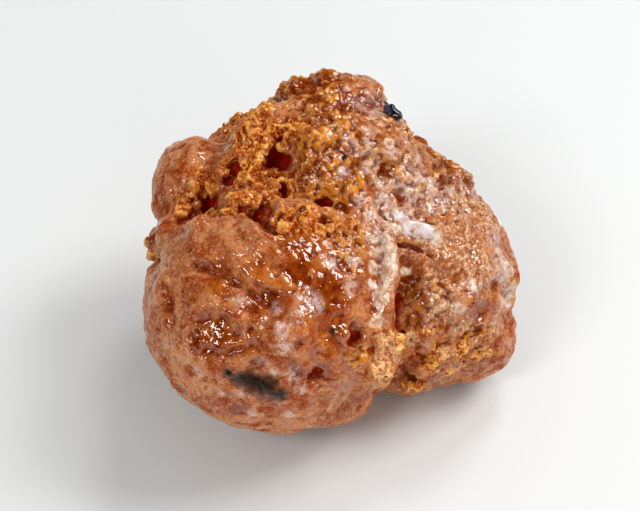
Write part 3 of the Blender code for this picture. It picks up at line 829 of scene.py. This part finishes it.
# %% [markdown]
# ## What the material needs to know
# Colour follows shape here. The crests of torn crumb are painted golden, and painted shade darkens the
# hollows and makes the inside of a pore deep red-brown, where little light reaches. So two numbers are
# stored: how far a point lies under the smoothed skin, and how much it stands out from its neighbours.

# %% Depth and crests
CREST_ROUNDS = 3
CREST_HEIGHT = 0.05
SOFT_ROUNDS = 90

softened = new_object("softened", whole_skin.copy())
smooth(softened, SOFT_ROUNDS, 1.0)
bpy.context.view_layer.update()
soft_skin = BVHTree.FromObject(softened, bpy.context.evaluated_depsgraph_get())
bpy.data.objects.remove(softened)


def store_relief(mesh):
    places, facing = points(mesh)
    depth = np.zeros(len(places))
    for i, place in enumerate(places):
        hit, outward, _, away = soft_skin.find_nearest(Vector(place))
        depth[i] = away if (hit - Vector(place)).dot(outward) > 0 else -away
    first, second = numbers(mesh.edges, "vertices", 2, np.int32).T
    count = np.bincount(np.concatenate((first, second)), minlength=len(places))[:, None]
    around = places
    for _ in range(CREST_ROUNDS):
        total = np.zeros_like(places)
        np.add.at(total, first, around[second])
        np.add.at(total, second, around[first])
        around = total / count
    crest = ((places - around) * facing).sum(axis=1) / (CREST_HEIGHT * MM)
    store(mesh, "depth", depth / MM)
    store(mesh, "crest", crest)
    print("deepest point in mm:", (depth.max() / MM).round(2))


store_finishes(dough.data)
store_relief(dough.data)

# %% [markdown]
# ## Fried dough under glaze
# Fried cake dough is brown, and light goes a millimetre or so into it, which makes thin edges glow orange:
# that is subsurface scattering. Each finish first gets colours of its own. The film is a mottled tan,
# glassier where the glaze is thick, the soaked crumb is amber with painted shade that darkens its hollows,
# and pale crust is beige with pale specks that are partly painted glints.

# %% Colours of the film and of the soaked crumb
share, coats = partial(mask, dough_tree), partial(paint, dough_tree)
times, plus, most = (partial(combine, dough_tree, name) for name in ("MULTIPLY", "ADD", "MAXIMUM"))
torn, soaked, thin, pale, stained, milky, sugar_and_sheen, glassy, depth, crest = stored(
    dough_tree, *(name for name in FINISHES if name != "set"), "depth", "crest")


def off_middle(*pattern):
    """How far a pattern lies above its middle value."""
    return combine(dough_tree, "SUBTRACT", cloud(dough_tree, *pattern), 0.5)


def threads(size, distortion):
    """Thin pale threads, where a pattern crosses its middle value."""
    away = combine(dough_tree, "ABSOLUTE", off_middle(size, 2.0, distortion), 0.0)
    return share(away, 0.0, 0.035, 1.0, 0.0)


glass = coats("#8e3800", (share((2.2, 4.0, 1.0), 0.38, 0.62), "#b86a1c"))
film = coats(
    "#9a4716",
    (share((3.4, 4.0, 1.2), 0.40, 0.60), "#bc7c53"),
    (share((1.0, 4.0, 0.8), 0.45, 0.66, 0.0, 0.4), "#ca9872"),
    (share((0.26, 1.0), 0.52, 0.66, 0.0, 0.3), "#e8b67e"),
    (share((0.7, 4.0, 1.0), 0.48, 0.34, 0.0, 0.5), "#802c04"),
    (times(glassy, 0.7), glass),
)
clear = coats("#702400", (share((0.9, 3.0, 0.8), 0.36, 0.66), "#9c4a04"))
amber = coats(
    "#944a02",
    (share((1.7, 3.0, 0.5), 0.38, 0.62), "#cc842a"),
    # Painted shade: the amber is darker in the hollows between lumps.
    (share(crest, -1.6, 0.4, 0.8, 0.0), "#723200"),
    (times(threads(1.3, 1.5), share((2.4,), 0.40, 0.58, 0.1, 0.75)), "#dcc09c"),
)
beige = coats(
    "#a86c42",
    # The pale specks are partly painted glints.
    (share((0.34, 3.0, 0.4), 0.40, 0.62), "#e4c4a4"),
    (share((1.8, 3.0, 1.0), 0.46, 0.62, 0.0, 0.6), "#a06034"),
)

# %% [markdown]
# ## Torn crumb and sugar
# Torn crumb is golden on its crests and painted red-brown between them, which is painted shade, with fine
# bright and dark specks. The sugar that set on the ridge is nearly white, with bare places in it, and along
# the right rim the same sugar colour is a painted sheen.

# %% Colours of the torn crumb and of the sugar
# Painted shade: the dark red-brown base shows in the hollows, and the crests are lighter and golden.
crumb = coats(
    "#983a04",
    (share(crest, -1.0, 0.5), "#d27c28"),
    (share(crest, 0.4, 2.2), "#f0b464"),
    (share((1.9, 3.0, 0.5), 0.42, 0.60, 0.0, 0.7), "#a04404"),
    (times(pale, share((0.5, 3.0), 0.38, 0.60, 0.1, 0.8)), "#e8c498"),
    (share((0.24, 2.0), 0.50, 0.64, 0.0, 0.5), "#fcc880"),
    (share((0.3, 2.0, 0.5), 0.50, 0.36, 0.0, 0.42), "#8c2800"),
)
# On the right rim this sugar colour is a painted sheen.
sugar = coats("#c69c7c", (share((0.7, 3.0, 0.6), 0.34, 0.64), "#e8dacc"))
crusted = share(plus(sugar_and_sheen, times(off_middle(0.9, 3.0, 0.8), 1.6)), -0.2, 1.3)

# %% [markdown]
# ## All the finishes in one colour
# The finishes lie over one another: film, soaked crumb, bare crust where the film is thin, pale crust, the
# milky film, partly a painted haze of glints, sugar, a painted sheen on the right rim, painted shade in the
# valleys, torn crumb, painted shade that makes the inside of pores deep red, and last the berry's stain.

# %% One colour
clear_share = share(plus(thin, times(cloud(dough_tree, 1.1, 4.0, 1.5), 2.4)), 1.5, 2.3)
# The milky film of glaze, which is partly a painted haze of glints.
milk_and_glint_haze = times(milky, most(share((1.3, 3.0, 2.0), 0.38, 0.66, 0.12, 0.7), times(threads(1.3, 2.2), 0.85)))
stain = plus(stained, times(off_middle(1.2, 3.0, 1.2), 0.8))
colour = coats(
    film,
    (soaked, amber),
    (times(clear_share, thin, 0.95), clear),
    (times(pale, share((1.1, 4.0, 1.5), 0.40, 0.58, 0.25, 0.9)), beige),
    (milk_and_glint_haze, "#dec9c0"),
    (times(crusted, share(sugar_and_sheen, 0.0, 0.8)), sugar),
    # Painted shade: the valleys between lumps are darker.
    (share(crest, -0.3, -1.8, 0.0, 0.6), "#7c2400"),
    (torn, crumb),
    # Painted shade: the inside of pores is deep red-brown.
    (share(depth, 0.4, 1.5), "#b02404"),
    (share(stained, 0.0, 0.5, 0.0, 0.6), "#6a4238"),
    (share(stain, 0.15, 1.0, 0.0, 0.94), "#1e1818"),
)

# %% [markdown]
# ## Gloss
# The glaze is a clear sugar film, so the shader gets a glossy coat over the dull crumb. It is strong where
# glaze soaked in or lies thick, and weak on torn crumb and inside the pores. Fine bump gives the crumb its
# grain, which is too small to model, and a ripple of the coat breaks the lights up into small glints.

# %% Gloss and grain
gloss = most(share((1.5, 3.0, 0.8), 0.42, 0.60, 0.15, 0.75), soaked, thin, glassy)
coat = times(gloss, share(stained, 0.2, 0.8, 1.0, 0.6), share(torn, 0.0, 1.0, 1.0, 0.65),
             share(depth, 0.3, 1.2, 1.0, 0.05))
grain = plus(cloud(dough_tree, 0.16, 1.0), times(cloud(dough_tree, 0.5), 2.0))
fine_ripple = most(share(pale, 0.0, 1.0, 0.1, 0.6), share(soaked, 0.0, 1.0, 0.0, 0.7))
ripple = plus(cloud(dough_tree, 0.8, 1.0, 0.3), times(cloud(dough_tree, 0.34, 0.0), fine_ripple))
bump, coat_bump = (
    add_node(dough_tree, "ShaderNodeBump", {"Strength": strength, "Distance": reach * MM, "Height": height})
    for strength, reach, height in ((0.8, 0.14, grain), (1.0, 0.18, ripple)))
fill(dough_tree, dough_shader, {
    "Base Color": colour, "Roughness": 0.55, "IOR": 1.45, "Specular IOR Level": 0.05,
    "Subsurface Weight": 0.5, "Subsurface Radius": (1.0, 0.45, 0.25), "Subsurface Scale": 0.8 * MM,
    "Normal": bump.outputs[0], "Coat Normal": coat_bump.outputs[0], "Coat Weight": coat,
    "Coat Roughness": 0.03, "Coat IOR": 1.8,
})
dress(dough, dough_material)
print("nodes in the dough's material:", len(dough_tree.nodes))

# %% [markdown]
# ## Set glaze
# Where the sugar glaze pooled, it dried thick, pale and glossy, and its near-white colour is partly painted
# glare. Liquid follows what it lies on, so each patch is a copy of the skin under it, raised in its middle
# and sunk at its rim, and Solidify closes it.

# %% Set glaze
GLAZE_RISE, GLAZE_RIM_SINK, GLAZE_BODY = 0.04, 0.30, 0.40
GLAZE_RIPPLE, GLAZE_RIPPLE_SIZE = 0.1, 1.6
GLAZE_RAGGED, GLAZE_SEED = 0.5, 4
GLAZE_EDGE_SIZE, GLAZE_FINE_SIZE, GLAZE_FINE_SHARE = 1.1, 0.45, 0.5
LEAST_INSIDE, FULL_HEIGHT = 0.02, 0.5


def glaze_patches(name, spots):
    """Closed patches of glaze that lie on the skin over the spots."""
    places, facing = points(whole_skin)
    fine = slow_noise(places, GLAZE_FINE_SIZE, GLAZE_SEED + 5)
    wander = slow_noise(places, GLAZE_EDGE_SIZE, GLAZE_SEED) + GLAZE_FINE_SHARE * fine
    inside = cover(places, spots, GLAZE_RAGGED, wander)
    height = ramp(inside, 0.0, FULL_HEIGHT) * (GLAZE_RISE + GLAZE_RIM_SINK) - GLAZE_RIM_SINK
    height += GLAZE_RIPPLE * slow_noise(places, GLAZE_RIPPLE_SIZE, GLAZE_SEED + 2)
    shape = bmesh.new()
    shape.from_mesh(whole_skin)
    thickness = shape.verts.layers.float.new("thickness")
    for vertex, place, share in zip(shape.verts, places + facing * (height * MM)[:, None], inside):
        vertex.co = place
        vertex[thickness] = share
    outside = [face for face in shape.faces if max(inside[v.index] for v in face.verts) < LEAST_INSIDE]
    bmesh.ops.delete(shape, geom=outside, context="FACES")
    patches = finished_object(name, shape)
    smooth(patches, 1)
    body = patches.modifiers.new("body", "SOLIDIFY")
    body.thickness, body.offset = GLAZE_BODY * MM, -1.0
    apply_modifiers(patches)
    print(name, "has", len(patches.data.polygons), "faces")
    return patches


def set_glaze_material():
    """Sugar syrup that set to a translucent off-white gloss, a little brown where it is thin. Its near-white
    is partly painted glare.
    """
    material, tree, shader = new_material("set_sugar_glaze")
    # The near-white of the thick glaze is partly painted glare.
    white = paint(tree, "#c8aea4", (mask(tree, (0.9, 3.0), 0.35, 0.65, rise="LINEAR"), "#ece6ea"))
    thick = mask(tree, stored(tree, "thickness")[0], 0.3, 1.0)
    bump = add_node(tree, "ShaderNodeBump", {
        "Strength": 0.4, "Distance": 0.1 * MM, "Height": cloud(tree, 0.5),
    }).outputs[0]
    fill(tree, shader, {
        "Base Color": paint(tree, "#b07c58", (thick, white)), "Roughness": 0.3, "IOR": 1.49,
        "Subsurface Weight": 0.6, "Subsurface Radius": (1.0, 0.6, 0.4), "Subsurface Scale": 0.8 * MM,
        "Normal": bump, "Coat Normal": bump, "Coat Weight": 0.8, "Coat Roughness": 0.05,
    })
    return material


glaze = glaze_patches("set_glaze", finish_spots["set"])
dress(glaze, set_glaze_material())

# %% [markdown]
# ## Bits of berry
# Dark berries broke up in the dough. One shiny piece of skin stands at the upper right edge, and small
# wrinkled bits show elsewhere. Each is a ball squashed to its size and wrinkled by noise along its normals.

# %% Berry bits
BERRY_BITS = {
    "shiny": ("front", 393, 113, (1.15, 0.8, 0.62), -48),
    "shiny_flake": ("front", 388, 106, (0.9, 0.4, 0.45), -30),
    "speck_high": ("front", 345, 157, (0.14, 0.1, 0.1), 20),
    "speck_right": ("front", 451, 178, (0.16, 0.08, 0.08), -30),
    "speck_low": ("front", 204, 381, (0.16, 0.1, 0.08), 10),
    "back": ("back", -4.6, -8.4, (1.4, 0.9, 0.6), 25), "left": ("left", -3, -8, (1.2, 0.8, 0.6), -20),
    "right": ("right", 11, -8, (1, 0.7, 0.5), 40),
}
BERRY_WRINKLE_SIZE, BERRY_WRINKLE, MEAN_WRINKLE = 0.55, 0.3, 0.25
BERRY_LUMP_SIZE, BERRY_LUMP = 1.0, 0.55


def berry_material():
    """Skin of a cooked dark berry: nearly black, wet and wrinkled, with grey-blue patches that are partly the
    blue-grey film of its skin and partly painted sheen.
    """
    material, tree, shader = new_material("cooked_berry_skin")
    # Grey-blue patches: partly the blue-grey film of the berry's skin, partly painted sheen.
    bloom_and_sheen = cloud(tree, 0.8, 3.0)
    bump = add_node(tree, "ShaderNodeBump", {"Strength": 0.5, "Distance": 0.08 * MM, "Height": bloom_and_sheen})
    fill(tree, shader, {
        "Base Color": paint(tree, "#07060b", (mask(tree, bloom_and_sheen, 0.45, 0.62, rise="LINEAR"), "#4a4a5a")),
        "Roughness": 0.4, "IOR": 1.4, "Specular IOR Level": 0.2, "Normal": bump.outputs[0],
        "Coat Weight": 1.0, "Coat Roughness": 0.03, "Coat IOR": 1.7,
    })
    return material


berry_shape = bmesh.new()
for view, across, upward, radii, turned in BERRY_BITS.values():
    middle, bit = add_lying_ball(berry_shape, folded_ball, view, across, upward, radii, turned, 4)
    for vertex in bit:
        wrinkle = (abs(noise.noise(vertex.co / (BERRY_WRINKLE_SIZE * MM))) - MEAN_WRINKLE) * BERRY_WRINKLE
        lump = noise.noise(vertex.co / (BERRY_LUMP_SIZE * MM)) * BERRY_LUMP * min(radii)
        vertex.co += (vertex.co - middle).normalized() * (wrinkle + lump) * MM
bmesh.ops.recalc_face_normals(berry_shape, faces=berry_shape.faces)
berry = finished_object("berry_bits", berry_shape)
dress(berry, berry_material())
print("berry bits:", len(BERRY_BITS))

# %% [markdown]
# ## Grains of crumb
# Torn crumb sheds grains, which cling to every torn edge and give it its sandy look. They are far too many
# to place by hand, so Geometry Nodes scatter them: points where the skin is torn, a lumpy grain on each.

# %% Crumb grains
GRAIN_SIZES = {"Spacing": 0.33, "Smallest radius": 0.05, "Largest radius": 0.13, "Seed": 8}
GRAIN_SQUASH = (0.6, 0.6, 0.35), (1.4, 1.2, 0.7)
GRAIN_TILT = (-0.4, -0.4, 0), (0.4, 0.4, FULL_TURN)
GRAIN_LUMPINESS, GRAIN_POINTS = 0.45, 12


def crumb_material():
    """Dry cake crumb: golden and translucent, so its thin edges glow, with a little glaze on it."""
    material, tree, shader = new_material("golden_cake_crumb")
    fill(tree, shader, {
        "Base Color": paint(tree, "#ac540e", (mask(tree, (1.1, 3.0), 0.35, 0.65, rise="LINEAR"), "#eeac58")),
        "Roughness": 0.5, "IOR": 1.45, "Subsurface Weight": 0.5, "Subsurface Radius": (1.0, 0.45, 0.15),
        "Subsurface Scale": 0.5 * MM, "Coat Weight": 0.45, "Coat Roughness": 0.05, "Coat IOR": 1.6,
    })
    return material


def grain_tree(material):
    """Lumpy grains on the crests of the torn skin, clear of the pores."""
    tree, given, result = new_geometry_tree("crumb_grains", GRAIN_SIZES)
    torn, crest, depth = stored(tree, "torn", "crest", "depth")
    edge = mask(tree, crest, -0.5, 1.0, 0.15, 1.0, "LINEAR")
    outside = mask(tree, depth, 0.2, 0.7, 1.0, 0.0, "LINEAR")
    scatter = scatter_points(tree, given, combine(tree, "MULTIPLY", edge, outside, torn))
    radius = add_node(tree, "FunctionNodeRandomValue", {
        2: given["Smallest radius"], 3: given["Largest radius"], "Seed": given["Seed"],
    }).outputs[1]
    squash, tilt = chances(tree, (*GRAIN_SQUASH, 2), (*GRAIN_TILT, 6))
    ball = add_node(tree, "GeometryNodeMeshIcoSphere", {"Radius": 1.0, "Subdivisions": 1})
    where = add_node(tree, "GeometryNodeInputPosition").outputs[0]
    lumps = add_node(tree, "ShaderNodeTexNoise", {"Vector": where, "Scale": 1.6, "Detail": 1.0}).outputs[0]
    push = mask(tree, lumps, 0.3, 0.7, -GRAIN_LUMPINESS, GRAIN_LUMPINESS, "LINEAR")
    lumpy = add_node(tree, "GeometryNodeSetPosition", {
        "Geometry": ball.outputs["Mesh"], "Offset": scale_vector(tree, where, push),
    })
    spun = add_node(tree, "FunctionNodeRotateRotation", {"Rotation": scatter["Rotation"], "Rotate By": tilt},
                    rotation_space="LOCAL")
    pieces = add_node(tree, "GeometryNodeInstanceOnPoints", {
        "Points": scatter["Points"], "Instance": lumpy.outputs[0], "Rotation": spun.outputs[0],
        "Scale": scale_vector(tree, squash, combine(tree, "MULTIPLY", radius, MM)),
    })
    end_geometry_tree(tree, result, pieces.outputs[0], material)
    return tree


grains = new_object("crumb_grains", grow(dough, grain_tree(crumb_material()), GRAIN_SIZES))
grains.data.shade_smooth()
print("crumb grains:", len(grains.data.vertices) // GRAIN_POINTS)

# %% [markdown]
# ## Floor and light
# The ball lies on a plain pale floor in a light tent. A window light high on the right draws most of the
# glints and casts the soft shadow to the left, two smaller lights add glints, and a low fill lightens the
# foot. The fill and the white surround stay out of reflections, where they would haze the colours.

# %% Floor, lights and surround
FLOOR_REACH = 2.0
LIGHT_AWAY = 0.6
SURROUND_STRENGTH = 0.46

floor_mesh = bpy.data.meshes.new("floor")
corners = [(x * FLOOR_REACH, y * FLOOR_REACH, 0) for x, y in ((-1, -1), (1, -1), (1, 1), (-1, 1))]
floor_mesh.from_pydata(corners, [], [(0, 1, 2, 3)])
floor = new_object("floor", floor_mesh)
# Matt white card: an even pale grey-white that shows the shadow and no reflection.
floor_material, floor_tree, floor_shader = new_material("matt_white_card")
fill(floor_tree, floor_shader, {"Base Color": linear("#d7d8d7"), "Roughness": 0.6})
floor_mesh.materials.append(floor_material)
floor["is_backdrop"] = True


def add_softbox(name, azimuth, elevation, size, power):
    """A square area light that looks at the ball from an azimuth and an elevation in degrees."""
    out = direction(azimuth, elevation)
    light = bpy.data.lights.new(name, "AREA")
    light.size, light.energy = size, power
    made = new_object(name, light)
    made.location = MIDDLE + out * LIGHT_AWAY
    made.rotation_euler = out.to_track_quat("Z", "Y").to_euler()
    return made


add_softbox("window_softbox", 104, 48, 0.26, 1.8)
add_softbox("back_softbox", 154, 56, 0.16, 0.7)
add_softbox("front_softbox", -38, 44, 0.18, 0.95)
add_softbox("low_fill_softbox", 24, 12, 0.5, 1.15).visible_glossy = False
surround = bpy.data.worlds.new("white_surround")
surround.use_nodes = True
fill(surround.node_tree, surround.node_tree.nodes["Background"], {
    "Color": linear("#f3f5f6"), "Strength": SURROUND_STRENGTH,
})
surround.cycles_visibility.glossy = False
bpy.context.scene.world = surround
bpy.context.scene.view_settings.view_transform = "Standard"
bpy.context.scene.view_settings.look = "Medium High Contrast"

# %% [markdown]
# ## Joining the pieces to the part
# The dressed dough stands in for the solid, and all the pieces ride on the only body. Last, the sizes of the
# solid and of the dressed ball are written down side by side.

# %% Ride, sizes and finish
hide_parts(SOLID)
for piece, slot in ((dough, "glazed_crust"), (glaze, "sugar_glaze"), (berry, "berry"), (grains, "crumb")):
    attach(piece, "root")

dressed_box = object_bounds()
for title, box in (("solid", cad_box), ("dressed", dressed_box)):
    print(title, "mm:", [round((b - a) / MM, 2) for a, b in zip(*box)])
